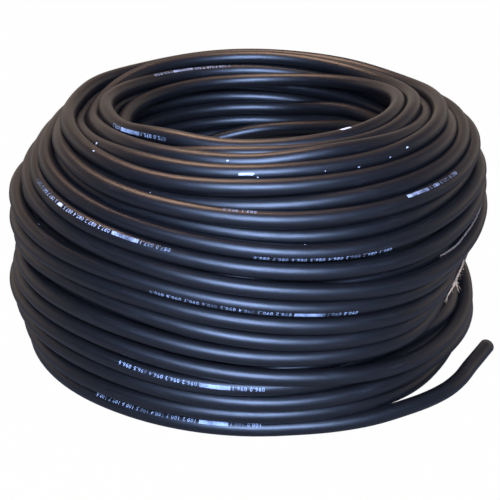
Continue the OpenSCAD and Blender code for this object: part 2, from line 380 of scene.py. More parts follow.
def relax(turns, hold, free, least_r):
    """Push turns apart where they overlap, and keep the cable smooth.

    Two turns nearer than GRIP_D in a section share the push by their freedom. Pushes are spread
    over seven stations, and a pull to the first place, by the share hold, dies out over the rounds.
    """
    home = turns.reshape(-1, 2).copy()
    one, other = np.triu_indices(len(turns), 1)
    ends = [0, 1, -2, -1]
    for step in range(RELAX_ROUNDS):
        apart = turns[one] - turns[other]
        distance = np.sqrt((apart ** 2).sum(-1)) + 1e-9
        over = np.clip(GRIP_D - distance, 0, None)
        pair, k = np.nonzero(over > 0)
        i, j = one[pair], other[pair]
        push = apart[pair, k] / distance[pair, k][:, None] * over[pair, k][:, None]
        freedom = free[i, k] + free[j, k]
        moved = np.zeros_like(turns)
        np.add.at(moved, (i, k), push * (free[i, k] / freedom)[:, None])
        np.add.at(moved, (j, k), -push * (free[j, k] / freedom)[:, None])
        points = turns.reshape(-1, 2) + PUSH * weighted(moved.reshape(-1, 2), (1, 2, 3, 4, 3, 2, 1))
        points += (hold * (1 - step / RELAX_ROUNDS)).reshape(-1, 1) * (home - points)
        smooth = weighted(points, (-1, 4, 10, 4, -1))
        smooth[ends] = points[ends]
        points += SMOOTHING * (smooth - points)
        points = np.maximum(points, np.stack([least_r.ravel(), np.full(least_r.size, FLOOR)], -1))
        turns = points.reshape(turns.shape)
    return turns


def wound_turns():
    """All turns of the coil, from the bottom one outside to the last one in the eye."""
    outer = outer_layer(np.random.default_rng(5))
    under = [under_layer(*sizes) for sizes in UNDER_LAYERS] + [wall(*MIDDLE_WALL)]
    walls = [wall(*sizes) for sizes in INNER_WALLS]
    lip = wall(*LIP_WALL)
    climb = rise(walls[-1][-1, -1, 1], lip[0, 0, 1])
    bearing = START - STEP_DEG * np.arange(STEPS)
    lip[..., 1] -= LIP_TILT * np.cos(np.radians(bearing - LIP_TILT_BEARING)) + LIP_DROP

    layers = [("outer", outer), *(("under", part) for part in under), *(("wall", part) for part in walls),
              ("rise", climb), ("lip", lip)]
    turns = np.concatenate([part for _, part in layers])
    points = turns.reshape(-1, 2)
    for _ in range(SET_ROUNDS):
        points[1:-1] = 0.5 * points[1:-1] + 0.25 * (points[:-2] + points[2:])
    points[:outer.shape[0] * STEPS - BLEND_STATIONS] = outer.reshape(-1, 2)[:-BLEND_STATIONS]

    kind = np.repeat([name for name, _ in layers], [len(part) for _, part in layers])[:, None]
    every = np.zeros(STEPS)
    hold = every + np.array([[HOLD.get(name, 0.0)] for name in kind[:, 0]])
    free = every + np.where(kind == "outer", OUTER_FREEDOM, 1.0)
    bulge = WALL_BULGE * np.clip(np.cos(np.radians(bearing - WALL_BULGE_BEARING)), 0, 1) ** 2
    least_r = np.where((kind == "outer") | (kind == "rise"), LOOSE_R,
                       WALL_R - np.where((kind == "wall") | (kind == "lip"), bulge, 0))
    return relax(turns, hold, free, least_r)


def join_ends(turns):
    """Ease the first and the last stations onto the places where the cable's two ends leave."""
    points = turns.reshape(-1, 2).copy()
    near = np.arange(JOIN_STATIONS)
    share = ease(1 - near / JOIN_STATIONS)[:, None]
    for first, way, place in ((0, 1, TAIL_PLACE), (len(points) - 1, -1, EYE_PLACE)):
        points[first + way * near] += share * (np.array(place) - points[first])
    return points


# ---------------------------------------------------------------- middle lines, in metres
def end_line(place, bearing, way, route, side):
    """Middle line of an end: straight off the winding, along its route, then straight to its cut.

    way is +1 where the bearing rises along it and -1 where it falls. side is +1 where it moves
    outwards and -1 where it moves into the eye.
    """
    r, z = place
    a = np.radians(bearing)
    t = way * np.array([-np.sin(a), np.cos(a), 0])
    joint = polar(r, bearing, z) + t * CABLE_D
    line = np.concatenate([[joint, joint + t * CABLE_D / 4],
                           polar(r + side * route[:, 1] * CABLE_D, bearing + way * route[:, 0], z)])
    t = unit(line[-1] - line[-2])
    line = np.concatenate([line, line[-1:] + t * END_LEN / 2, line[-1:] + t * END_LEN])
    reach = reach_of(line)
    bend = np.linspace(0, reach[-3], int(reach[-3] / 7) + 1)
    straight = reach[-3] + np.arange(1, 5) / 4 * END_LEN
    return smooth_through(reach, line, np.r_[bend, straight])


@functools.cache
def cable_lines():
    """The tail and the inner end, from the winding to their cuts, and the winding's two parts."""
    points = join_ends(wound_turns())
    bearing = START - STEP_DEG * np.arange(len(points))
    wound = polar(points[:, 0], bearing, points[:, 1])
    tail = end_line(TAIL_PLACE, START, 1, TAIL_ROUTE, 1)
    inner = end_line(EYE_PLACE, START - STEP_DEG * len(points), -1, EYE_ROUTE, -1)
    cut = OUTER_TURNS * STEPS
    return {"tail": tail / 1000, "outer_turns": wound[:cut + 1] / 1000,
            "inner_turns": wound[cut:] / 1000, "inner": inner / 1000}


@functools.cache
def outer_line():
    """Join to tail tip: the winding reversed and made finer, then the tail."""
    lines = cable_lines()
    return np.concatenate([finer(lines["outer_turns"][::-1], 2), lines["tail"]])


def inner_line():
    """Join to inner tip."""
    lines = cable_lines()
    return np.concatenate([lines["inner_turns"], lines["inner"]])


# ---------------------------------------------------------------- meshes
def mesh_from(name, co, polygons, uv=None):
    """Mesh from points, a list of (count, corners) index arrays and one UV pair per corner."""
    mesh = bpy.data.meshes.new(name)
    loops = np.concatenate([p.ravel() for p in polygons]).astype(np.int32)
    totals = np.concatenate([np.full(len(p), p.shape[1]) for p in polygons]).astype(np.int32)
    mesh.vertices.add(len(co))
    mesh.vertices.foreach_set("co", np.asarray(co, np.float32).ravel())
    mesh.loops.add(len(loops))
    mesh.loops.foreach_set("vertex_index", loops)
    mesh.polygons.add(len(totals))
    mesh.polygons.foreach_set("loop_start", np.r_[0, np.cumsum(totals)[:-1]].astype(np.int32))
    mesh.polygons.foreach_set("loop_total", totals)
    mesh.polygons.foreach_set("use_smooth", np.full(len(totals), True))
    if uv is not None:
        mesh.uv_layers.new(name="UVMap").data.foreach_set("uv", np.asarray(uv, np.float32).ravel())
    mesh.update()
    return mesh


def tube(path, radii, sides, frames, u):
    """Closed tube: points, polygons and UVs.

    Side j of ring i lies at path_i + radius_i * (across_i * cos(a_j) + up_i * sin(a_j)), with
    a_j = 2 * pi * j / sides. The ends close in a fan about the first and the last point. UV is
    the length u_i and the angle's share of a turn.
    """
    n = len(path)
    a = 2 * np.pi * np.arange(sides) / sides
    _, across, up = frames
    ring = across[:, None] * np.cos(a)[None, :, None] + up[:, None] * np.sin(a)[None, :, None]
    rings = path[:, None] + np.asarray(radii)[:, None, None] * ring
    co = np.concatenate([rings.reshape(-1, 3), path[:1], path[-1:]])
    i = np.arange(n - 1)[:, None] * sides
    j = np.arange(sides)[None]
    k = (j + 1) % sides
    walls = np.stack([i + j, i + sides + j, i + sides + k, i + k], -1).reshape(-1, 4)
    j, k = j[0], k[0]
    first = np.stack([np.full(sides, n * sides), j, k], -1)
    last = np.stack([np.full(sides, n * sides + 1), (n - 1) * sides + k, (n - 1) * sides + j], -1)
    v = np.broadcast_to(np.arange(sides) / sides, (n - 1, sides))
    u0, u1 = (np.broadcast_to(w[:, None], (n - 1, sides)) for w in (u[:-1], u[1:]))
    step = 1 / sides
    wall_uv = np.stack([np.stack(c, -1) for c in ((u0, v), (u1, v), (u1, v + step), (u0, v + step))], 2)
    v = v[0]
    first_uv = np.stack([np.stack([np.full(sides, u[0]), w], -1) for w in (v, v, v + step)], 1)
    last_uv = np.stack([np.stack([np.full(sides, u[-1]), w], -1) for w in (v, v + step, v)], 1)
    uv = np.concatenate([wall_uv.reshape(-1, 2), first_uv.reshape(-1, 2), last_uv.reshape(-1, 2)])
    return co, [walls, np.concatenate([first, last])], uv


def joined(parts):
    """Several (points, polygons, UVs) as one."""
    co, walls, fans, wall_uv, fan_uv, shift = [], [], [], [], [], 0
    for p, (w, f), uv in parts:
        co.append(p)
        walls.append(w + shift)
        fans.append(f + shift)
        wall_uv.append(uv[:w.size])
        fan_uv.append(uv[w.size:])
        shift += len(p)
    return np.concatenate(co), [np.concatenate(walls), np.concatenate(fans)], np.concatenate(wall_uv + fan_uv)


def add_piece(name, mesh, material):
    """New object that rides on the coil's one body."""
    obj = bpy.data.objects.new(name, mesh)
    mesh.materials.append(material)
    bpy.context.scene.collection.objects.link(obj)
    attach(obj, "root")
    return obj


# ---------------------------------------------------------------- finishes
def feed(tree, made, inputs):
    """Set each named or numbered input of a node to a value, or join it to a socket."""
    for key, value in inputs.items():
        if isinstance(value, bpy.types.NodeSocket):
            tree.links.new(value, made.inputs[key])
        else:
            made.inputs[key].default_value = value
    return made


def node(tree, kind, inputs=None, **settings):
    made = tree.nodes.new(kind)
    for key, value in settings.items():
        setattr(made, key, value)
    return feed(tree, made, inputs or {})


def maths(tree, operation, *values, clamp=False):
    made = node(tree, "ShaderNodeMath", dict(enumerate(values)), operation=operation, use_clamp=clamp)
    return made.outputs[0]


def product(tree, *values):
    return maths(tree, "MULTIPLY", *values)


def noise(tree, vector, scale, detail=2.0, rough=0.5):
    inputs = {"Vector": vector, "Scale": scale, "Detail": detail, "Roughness": rough}
    return node(tree, "ShaderNodeTexNoise", inputs).outputs["Fac"]


def waves(tree, vector, scale, direction, **inputs):
    inputs = {"Vector": vector, "Scale": scale, **inputs}
    return node(tree, "ShaderNodeTexWave", inputs, bands_direction=direction).outputs["Fac"]


def band(tree, value, low, high, to_low=0.0, to_high=1.0):
    """Value taken from one range to another, and held at its ends."""
    inputs = {"Value": value, "From Min": low, "From Max": high, "To Min": to_low, "To Max": to_high}
    return node(tree, "ShaderNodeMapRange", inputs).outputs[0]


def mix(tree, share, first, second):
    """Colour from the first to the second by a share."""
    return node(tree, "ShaderNodeMix", {0: share, 6: first, 7: second}, data_type="RGBA").outputs[2]


def opaque(colour, times=1.0):
    """Colour with full alpha, brightened or darkened."""
    return (*(min(1.0, times * c) for c in colour), 1)


def place_of(tree, name="Object"):
    return tree.nodes.new("ShaderNodeTexCoord").outputs[name]


def group(name, inputs, outputs):
    """Empty shader node group with its sockets, as (tree, input node, output node)."""
    tree = bpy.data.node_groups.new(name, "ShaderNodeTree")
    for kind, sockets in (("INPUT", inputs), ("OUTPUT", outputs)):
        for label, what in sockets:
            tree.interface.new_socket(name=label, in_out=kind, socket_type=what)
    return tree, tree.nodes.new("NodeGroupInput"), tree.nodes.new("NodeGroupOutput")


def use(tree, shared, inputs):
    """A shared group placed in a material with its own values."""
    return node(tree, "ShaderNodeGroup", inputs, node_tree=bpy.data.node_groups[shared])


def make_extrusion_group():
    """Extruded skin along a cable's UVs: streaks, a fine grain, rub marks and the lay of the cores."""
    tree, given, out = group("extruded skin",
                             [("UV", "NodeSocketVector"), ("Lay", "NodeSocketFloat")],
                             [("Streaks", "NodeSocketFloat"), ("Grain", "NodeSocketFloat"),
                              ("Rubs", "NodeSocketFloat"), ("Height", "NodeSocketFloat")])
    parts = node(tree, "ShaderNodeSeparateXYZ", {0: given.outputs["UV"]})
    along, turn = parts.outputs[0], product(tree, parts.outputs[1], 2 * math.pi)
    c, s = maths(tree, "COSINE", turn), maths(tree, "SINE", turn)

    def stretched(per_metre, around):
        place = {0: product(tree, along, per_metre), 1: product(tree, c, around),
                 2: product(tree, s, around)}
        return node(tree, "ShaderNodeCombineXYZ", place).outputs[0]

    streaks = noise(tree, stretched(9.0, 7.0), 1.0, 3.0, 0.6)
    grain = noise(tree, stretched(1300.0, 8.3), 1.0, 3.0, 0.65)
    rubs = product(tree, band(tree, noise(tree, stretched(34.0, 1.7), 1.0, 4.0, 0.62), 0.56, 0.72),
                   band(tree, noise(tree, stretched(420.0, 9.0), 1.0, 3.0, 0.7), 0.40, 0.66))
    lobes = maths(tree, "SINE", maths(tree, "ADD", product(tree, turn, len(CORES)),
                                      product(tree, along, 2 * math.pi / CORE_PITCH)))
    height = maths(tree, "ADD", product(tree, lobes, given.outputs["Lay"]),
                   maths(tree, "ADD", product(tree, streaks, 0.5), product(tree, grain, 0.35)))
    feed(tree, out, {"Streaks": streaks, "Grain": grain, "Rubs": rubs, "Height": height})


def make_dust_and_sheen_group():
    """Dust that settles on what faces up, which also paints a warm sheen on the upper sides, broken up by
    noise on Object coordinates.
    """
    tree, given, out = group("settled dust and painted sheen",
                             [("Amount", "NodeSocketFloat"), ("Size", "NodeSocketFloat")],
                             [("Dust and painted sheen", "NodeSocketFloat")])
    place = place_of(tree)
    normal = tree.nodes.new("ShaderNodeNewGeometry").outputs["Normal"]
    facing = node(tree, "ShaderNodeSeparateXYZ", {0: normal}).outputs[2]
    patches = noise(tree, place, given.outputs["Size"], 5.0, 0.65)
    fine = noise(tree, place, 900.0, 2.0)
    broken = maths(tree, "ADD", band(tree, patches, 0.3, 0.75, 0.35, 1.0),
                   band(tree, fine, 0.4, 0.8, -0.15, 0.35))
    # What faces up gets the brown colour: partly real dust, partly a painted warm sheen on the upper sides
    upward_dust_and_sheen = product(tree, band(tree, facing, 0.05, 0.95), given.outputs["Amount"])
    feed(tree, out, {"Dust and painted sheen": maths(tree, "MULTIPLY", upward_dust_and_sheen, broken, clamp=True)})


def make_fibre_group():
    """Fibres that run along a yarn's UVs, with a cloudy colour change over its length."""
    tree, given, out = group("yarn fibres", [("UV", "NodeSocketVector"), ("Fineness", "NodeSocketFloat")],
                             [("Fibres", "NodeSocketFloat"), ("Clouds", "NodeSocketFloat")])
    parts = node(tree, "ShaderNodeSeparateXYZ", {0: given.outputs["UV"]})
    along, turn = parts.outputs[0], parts.outputs[1]
    drawn = node(tree, "ShaderNodeCombineXYZ",
                 {0: product(tree, along, 500.0), 1: product(tree, turn, given.outputs["Fineness"])})
    clouded = node(tree, "ShaderNodeCombineXYZ", {0: product(tree, along, 90.0)})
    feed(tree, out, {"Fibres": noise(tree, drawn.outputs[0], 1.0, 4.0, 0.7),
                     "Clouds": noise(tree, clouded.outputs[0], 1.0, 3.0)})


def new_material(name):
    made = bpy.data.materials.new(name)
    made.use_nodes = True
    tree = made.node_tree
    return made, tree, tree.nodes["Principled BSDF"]


def bump(tree, height, strength, distance):
    inputs = {"Height": height, "Strength": strength, "Distance": distance}
    return node(tree, "ShaderNodeBump", inputs).outputs[0]


def sheath_rubber(colours):
    """Black sheath rubber: extrusion streaks, rub marks and a thin brown dust on its upper side, which is
    also a painted warm sheen there.
    """
    made, tree, shader = new_material("sheath rubber")
    skin = use(tree, "extruded skin", {"UV": place_of(tree, "UV"), "Lay": 0.12})
    streaks, rubs = skin.outputs["Streaks"], skin.outputs["Rubs"]
    # Brown on the upper side: real dust and also a painted warm sheen
    dust_and_sheen = use(tree, "settled dust and painted sheen", {"Amount": colours.dust_and_sheen_amount, "Size": 28.0}).outputs[0]
    black = mix(tree, product(tree, streaks, 0.6), opaque(colours.sheath), opaque(colours.sheath, 0.55))
    rubbed = mix(tree, product(tree, rubs, 0.35), black, (0.045, 0.045, 0.05, 1))
    rough = maths(tree, "ADD", band(tree, streaks, 0.3, 0.7, 0.36, 0.46),
                  product(tree, maths(tree, "ADD", dust_and_sheen, rubs), 0.16))
    feed(tree, shader, {"Base Color": mix(tree, dust_and_sheen, rubbed, opaque(colours.dust_and_sheen)), "Roughness": rough,
                        "Specular IOR Level": 0.75,
                        "Normal": bump(tree, skin.outputs["Height"], 0.55, 0.00016)})
    return made


def print_ink(colours):
    """Worn ink-jet print: ink that thins out to the rubber under it."""
    made, tree, shader = new_material("sheath print")
    place = place_of(tree)
    worn = maths(tree, "ADD", band(tree, noise(tree, place, 1300.0, 3.0, 0.7), 0.50, 0.68, 0.0, 0.75),
                 band(tree, noise(tree, place, 70.0, 2.0), 0.45, 0.68, 0.05, 0.75), clamp=True)
    feed(tree, shader, {"Base Color": mix(tree, worn, opaque(colours.ink), (0.03, 0.03, 0.036, 1)),
                        "Roughness": 0.6, "Specular IOR Level": 0.3})
    return made


def chalk():
    """Pale scuff: a chalky mark with darker pits."""
    made, tree, shader = new_material("pale fleck")
    place = place_of(tree)
    pits = band(tree, noise(tree, place, 1500.0, 3.0), 0.45, 0.7)
    feed(tree, shader, {"Base Color": mix(tree, pits, (0.86, 0.88, 0.92, 1), (0.45, 0.47, 0.52, 1)),
                        "Roughness": 0.7, "Normal": bump(tree, noise(tree, place, 2600.0, 2.0), 0.4, 0.0001)})
    return made


def twine_fibre(name, colour):
    """Dry bast fibre with darker clouds along the yarn."""
    made, tree, shader = new_material(name)
    yarn = use(tree, "yarn fibres", {"UV": place_of(tree, "UV"), "Fineness": 26.0})
    fibres = yarn.outputs["Fibres"]
    pale = mix(tree, fibres, opaque(colour, 0.45), opaque(colour, 1.35))
    clouds = band(tree, yarn.outputs["Clouds"], 0.45, 0.75, 0.0, 0.5)
    feed(tree, shader, {"Base Color": mix(tree, clouds, pale, (0.16, 0.11, 0.085, 1)), "Roughness": 0.9,
                        "Specular IOR Level": 0.2, "Sheen Weight": 0.3, "Sheen Roughness": 0.5,
                        "Normal": bump(tree, fibres, 0.7, 0.00015)})
    return made


def plain_plastic(name, colour, rough=0.42, stripe=None):
    """Core insulation or filler: a satin compound with a fine cloudy grain, and stripes if asked for."""
    made, tree, shader = new_material(name)
    place = place_of(tree)
    grain = noise(tree, place, 1400.0, 3.0, 0.6)
    base = mix(tree, band(tree, grain, 0.35, 0.7), opaque(colour), opaque(colour, 0.6))
    if stripe:
        wave = waves(tree, place, 150.0, "DIAGONAL", Distortion=0.4, Detail=0.0)
        base = mix(tree, band(tree, wave, 0.62, 0.68), base, opaque(stripe))
    rough = band(tree, grain, 0.3, 0.7, rough - 0.06, rough + 0.1)
    feed(tree, shader, {"Base Color": base, "Roughness": rough, "Normal": bump(tree, grain, 0.35, 0.00008)})
    return made


def wrap_tape():
    """Woven wrap: two crossed waves make the threads."""
    made, tree, shader = new_material("wrap tape")
    place = place_of(tree)
    weave = maths(tree, "MAXIMUM", waves(tree, place, 620.0, "Z"), waves(tree, place, 620.0, "X"))
    feed(tree, shader, {"Base Color": mix(tree, weave, (0.42, 0.39, 0.33, 1), (0.72, 0.69, 0.62, 1)),
                        "Roughness": 0.85, "Normal": bump(tree, weave, 0.5, 0.00005)})
    return made


def copper_wire():
    """Drawn copper with a slight tarnish."""
    made, tree, shader = new_material("copper wire")
    tarnish = noise(tree, place_of(tree), 700.0, 4.0, 0.65)
    dull = band(tree, tarnish, 0.4, 0.75)
    feed(tree, shader, {"Base Color": mix(tree, dull, (0.86, 0.42, 0.26, 1), (0.42, 0.20, 0.12, 1)),
                        "Metallic": 1.0, "Roughness": band(tree, tarnish, 0.3, 0.7, 0.25, 0.45)})
    return made


# ---------------------------------------------------------------- stage
CAMERA_PLACE, CAMERA_AIM = (-0.0026, -0.8449, 0.4548), (-0.0026, 0.0, 0.0655)
FLOOR_HALF = 4.0
# name, place, what it points at, size, watts and colour
LAMPS = [
    ("front soft box", (0.06, -1.46, 0.90), (0, 0, 0.1), (0.85, 0.85), 66.0, (0.40, 0.57, 1.0)),
    ("top soft box", (-0.25, 0.45, 1.5), (0, 0, 0.15), (0.7, 0.6), 15.0, (1.0, 0.66, 0.47)),
]


def set_up(scene, name, data, place, aim):
    """New camera or lamp at a place, looking at its aim."""
    obj = bpy.data.objects.new(name, data)
    scene.collection.objects.link(obj)
    obj.location = place
    obj.rotation_euler = (Vector(aim) - Vector(place)).to_track_quat("-Z", "Y").to_euler()
    return obj


def floor_finish():
    """Floor that looks white, is a tenth as bright in reflections and is dark grey to other light."""
    made, tree, shader = new_material("floor")
    feed(tree, shader, {"Base Color": (0.14, 0.14, 0.15, 1), "Roughness": 0.9, "Specular IOR Level": 0.0})
    path = tree.nodes.new("ShaderNodeLightPath").outputs
    dimmed = product(tree, path["Is Glossy Ray"], 0.10)
    seen = maths(tree, "MAXIMUM", path["Is Camera Ray"],
                 maths(tree, "MAXIMUM", dimmed, path["Is Transmission Ray"]))
    glow = node(tree, "ShaderNodeEmission", {"Color": (1, 1, 1, 1), "Strength": 1.0})
    blend = node(tree, "ShaderNodeMixShader",
                 {0: product(tree, seen, 0.992), 1: shader.outputs[0], 2: glow.outputs[0]})
    feed(tree, tree.nodes["Material Output"], {"Surface": blend.outputs[0]})
    return made


def room_world():
    """White as seen. Reflections see a dark room with a warm glow low behind the coil."""
    world = bpy.data.worlds.new("world")
    world.use_nodes = True
    tree = world.node_tree
    path = tree.nodes.new("ShaderNodeLightPath").outputs
    _, back_side, high = node(tree, "ShaderNodeSeparateXYZ", {0: place_of(tree, "Generated")}).outputs
    behind = product(tree, band(tree, back_side, -0.2, 0.4), band(tree, high, 0.15, 0.6, 1.0, 0.0))
    room = mix(tree, behind, (0.025, 0.025, 0.03, 1), (0.78, 0.64, 0.54, 1))
    dim = mix(tree, path["Is Glossy Ray"], (0.16, 0.15, 0.15, 1), room)
    plain = maths(tree, "MAXIMUM", path["Is Camera Ray"], path["Is Transmission Ray"])
    feed(tree, tree.nodes["Background"], {"Color": mix(tree, plain, dim, (1, 1, 1, 1))})
    return world


class CABLECOIL_OT_stage(bpy.types.Operator):
    """Camera, floor, world and lamps"""
    bl_idname = "cable_coil.stage"
    bl_label = "Stage"

    def execute(self, context):
        scene = context.scene
        camera = bpy.data.cameras.new("camera")
        camera.lens = 74.45
        camera.sensor_width = 36
        scene.camera = set_up(scene, "camera", camera, CAMERA_PLACE, CAMERA_AIM)
        scene.view_settings.view_transform = "Standard"

        mesh = bpy.data.meshes.new("floor")
        corners = [(x * FLOOR_HALF, y * FLOOR_HALF, 0) for x, y in ((-1, -1), (1, -1), (1, 1), (-1, 1))]
        mesh.from_pydata(corners, [], [(0, 1, 2, 3)])
        floor = bpy.data.objects.new("floor", mesh)
        scene.collection.objects.link(floor)
        mesh.materials.append(floor_finish())
        scene.world = room_world()

        for name, place, aim, size, power, colour in LAMPS:
            lamp = bpy.data.lights.new(name, "AREA")
            lamp.shape = "RECTANGLE"
            lamp.size, lamp.size_y = size
            lamp.energy = power
            lamp.color = colour
            set_up(scene, name, lamp, place, aim)
        return {"FINISHED"}


# ---------------------------------------------------------------- cable
BORE_R = 4.657                 # radius inside the sheath, in mm
CORES = ("blue", "brown", "black", "grey", "earth")
CORE_PITCH = 0.018             # length in which the cores turn once, in metres as all below
LIP = 0.0004                   # bevel on the sheath's cut edge
CONDUCTOR_R = 0.0008
STRAND_LAYERS = ((1, 0.0), (6, 2.0), (12, 3.9))    # strands, and their distance out in strand radii
STRAND_PITCH = 0.022


def cable_piece(name, line, sides, material, radius, bore):
    """Sheath along a middle line, with a bevelled cut at its far end that is hollow for END_LEN."""
    tip = line[-1]
    t = unit(tip - line[-2])
    edge, back = tip - t * LIP, tip - t * END_LEN / 1000
    path = np.concatenate([line[:-1], [edge, tip, tip, edge, back]])
    radii = np.concatenate([np.full(len(line), radius), [radius - LIP, bore + LIP / 2, bore, bore]])
    outside = np.concatenate([line[:-1], [edge]])
    frames = [np.concatenate([f, np.repeat(f[-1:], 4, axis=0)]) for f in frame_of(outside)]
    co, polygons, uv = tube(path, radii, sides, frames, reach_of(path))
    return add_piece(name, mesh_from(name, co, polygons, uv), material)


class CABLECOIL_OT_cable(bpy.types.Operator):
    """The wound cable, as an outer and an inner piece that meet inside the coil"""
    bl_idname = "cable_coil.cable"
    bl_label = "Wound cable"

    def execute(self, context):
        sizes, colours = context.scene.coil_sizes, context.scene.coil_colours
        make_extrusion_group()
        make_dust_and_sheen_group()
        material = sheath_rubber(colours)
        radius = sizes.cable_diameter / 2
        for name, line, sides, nodes in (
                ("sheath_outer", outer_line(), 18,
                 ("coil_core", "outer_turns", "outer_stretch", "outer_end_sheath")),
                ("sheath_inner", inner_line(), 14, ("inner_stretch", "inner_end_sheath"))):
            obj = cable_piece(name, line, sides, material, radius, BORE_R / 1000)
            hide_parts(*nodes)
        return {"FINISHED"}


def strands(t, centre, length, seed):
    """Stranded conductor: one wire in the middle, six round it and twelve round those, twisted together.

    Strand k of a layer lies at its layer's distance from the bundle's middle, and at the angle
    a_k + 2 * pi * d / STRAND_PITCH at the length d. The cut stops each at a slightly different place.
    """
    rng = np.random.default_rng(seed)
    across = unit(np.cross(t, [0, 0, 1.0]))
    up = np.cross(across, t)
    r = CONDUCTOR_R / 5
    parts = []
    for count, out in STRAND_LAYERS:
        for k in range(count):
            d = np.linspace(0, length - rng.uniform(0.0, 0.0004), 15)
            a = 2 * np.pi * (k + 0.5 * (count == 12)) / count + 2 * np.pi * d / STRAND_PITCH
            path = (centre + np.outer(d, t)
                    + out * r * (np.outer(np.cos(a), across) + np.outer(np.sin(a), up)))
            parts.append(tube(path, np.full(len(d), r * 0.97), 8, frame_of(path), d))
    return joined(parts)


def paint(name, material):
    """Give a solid of the frame its finish."""
    obj = frame["nodes"][name]
    if obj.material_slots:
        for place in obj.material_slots:
            place.material = material
    else:
        obj.data.materials.append(material)


class CABLECOIL_OT_cut_ends(bpy.types.Operator):
    """Conductors, insulation, filler and tape at the two cut ends"""
    bl_idname = "cable_coil.cut_ends"
    bl_label = "Cut ends"

    def execute(self, context):
        copper = copper_wire()
        tape = wrap_tape()
        filler = plain_plastic("filler rubber", (0.035, 0.035, 0.037), 0.7)
        insulation = {
            "blue": plain_plastic("blue insulation", (0.02, 0.10, 0.38)),
            "brown": plain_plastic("brown insulation", (0.12, 0.04, 0.02)),
            "black": plain_plastic("black insulation", (0.02, 0.02, 0.02)),
            "grey": plain_plastic("grey insulation", (0.25, 0.26, 0.27)),
            "earth": plain_plastic("striped insulation", (0.55, 0.50, 0.03), stripe=(0.04, 0.28, 0.05)),
        }
        lines = cable_lines()
        for end, line in (("outer", lines["tail"]), ("inner", lines["inner"])):
            t = unit(line[-1] - line[-2])
            for k, core in enumerate(CORES):
                middle = np.array(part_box(f"{end}_wire_{core}")).mean(axis=0)
                name = f"{end}_strands_{core}"
                co, polygons, uv = strands(t, middle - t * END_LEN / 2000, END_LEN / 1000, k)
                obj = add_piece(name, mesh_from(name, co, polygons, uv), copper)
                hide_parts(f"{end}_wire_{core}")
                paint(f"{end}_core_{core}", insulation[core])
            paint(f"{end}_end_tape", tape)
            paint(f"{end}_end_filler", filler)
        return {"FINISHED"}


# ---------------------------------------------------------------- print and flecks
# Printed runs on the sheath: station of the solid bar's middle, angle round the cable there in
# degrees (0 outward, 90 up), its change per station, and the figures before and after the bar.
# A station is 1/72 of a turn, counted from where the tail leaves the winding.
PRINT_RUNS = [
    (2.75, 52, 0.0, 2, 7), (218.6, 23, 3.0, 2, 5), (574.8, -20, 0.0, 2, 8), (726.5, 50, 0.0, 2, 8),
    (929.05, 63, 0.0, 3, 0), (1378.7, 14, 6.0, 2, 1), (1398.7, 114, 0.0, 2, 3),
    (34.0, 30, 0.5, 2, 8), (106.5, -12, 1.0, 2, 8), (172.0, 35, -1.0, 2, 8), (256.0, 8, 0.5, 2, 8),
    (318.0, -20, 1.0, 2, 8), (396.0, 25, -0.5, 2, 8), (468.0, -5, 0.8, 2, 8), (540.0, 18, 0.0, 2, 8),
    (622.0, -15, 1.0, 2, 8), (688.0, 40, -0.6, 2, 8), (762.0, 12, 0.5, 2, 8), (834.0, 30, 0.3, 2, 8),
    (905.0, 45, 0.0, 2, 8), (980.0, 60, 0.5, 2, 8), (1050.0, 80, 0.0, 2, 8), (1124.0, 70, 0.0, 2, 8),
]
# Runs of figures alone, without a bar: first station, angle and count of figures
FIGURE_RUNS = [(787.1, -27, 8), (936.9, 77, 2)]
BAR = (0.022, 0.0029)          # length and height of a solid bar
GAP = 0.0018                   # between a bar and the figures
STATIONS_PER_METRE = 56        # of marked length
WHOLE_LENGTH = 100             # length marked where the tail leaves, in metres
STRIP = 0.0008                 # height of the strips that a figure is cut into, so that it bends
FIGURE_SHARE = 0.73            # a figure's height as a share of its font size
# Pale flecks and rubbed dashes: station, angle, length and width in mm
FLECKS = [
    (1153.35, 14, 12.0, 2.2), (1361.9, 97, 12.0, 4.2), (730.45, 50, 6.0, 3.0), (1226.4, 27, 2.0, 1.4),
    (1163.0, 41, 2.6, 1.8), (1144.2, 28, 2.4, 1.4), (1145.5, 7, 1.4, 0.8), (1152.8, -10, 1.3, 1.0),
    (1149.4, 1, 1.2, 0.6), (1147.5, -7, 2.4, 0.7), (790.9, 92, 1.6, 1.2), (1014.0, 41, 1.0, 0.8),
    (588.4, 112, 1.4, 1.0), (1090.0, 60, 2.0, 1.2),
]
FLECK_SIDES = 14


def on_sheath(flat, station, angle, twist, lift=0.00005):
    """Points of a flat pattern laid on the sheath; x runs away from the tail and y down round it.

    With the path's length s falling by x from the station, and a = angle + twist * x - y / radius,
    the point is path(s) + (radius + lift) * (across(s) * cos(a) + up(s) * sin(a)).
    """
    path = outer_line()
    radius = bpy.context.scene.coil_sizes.cable_diameter / 2
    reach = reach_of(path)
    s = np.interp((OUTER_TURNS * STEPS - station) * 2, np.arange(len(path)), reach) - flat[:, 0]
    middle, across, up = (np.stack([np.interp(s, reach, part[:, k]) for k in range(3)], -1)
                          for part in (path, *frame_of(path)[1:]))
    per_metre = twist / (reach[-1] / len(path) * 2)
    a = (np.radians(angle + per_metre * flat[:, 0]) - flat[:, 1] / radius)[:, None]
    return middle + (radius + np.reshape(lift, (-1, 1))) * (across * np.cos(a) + up * np.sin(a))


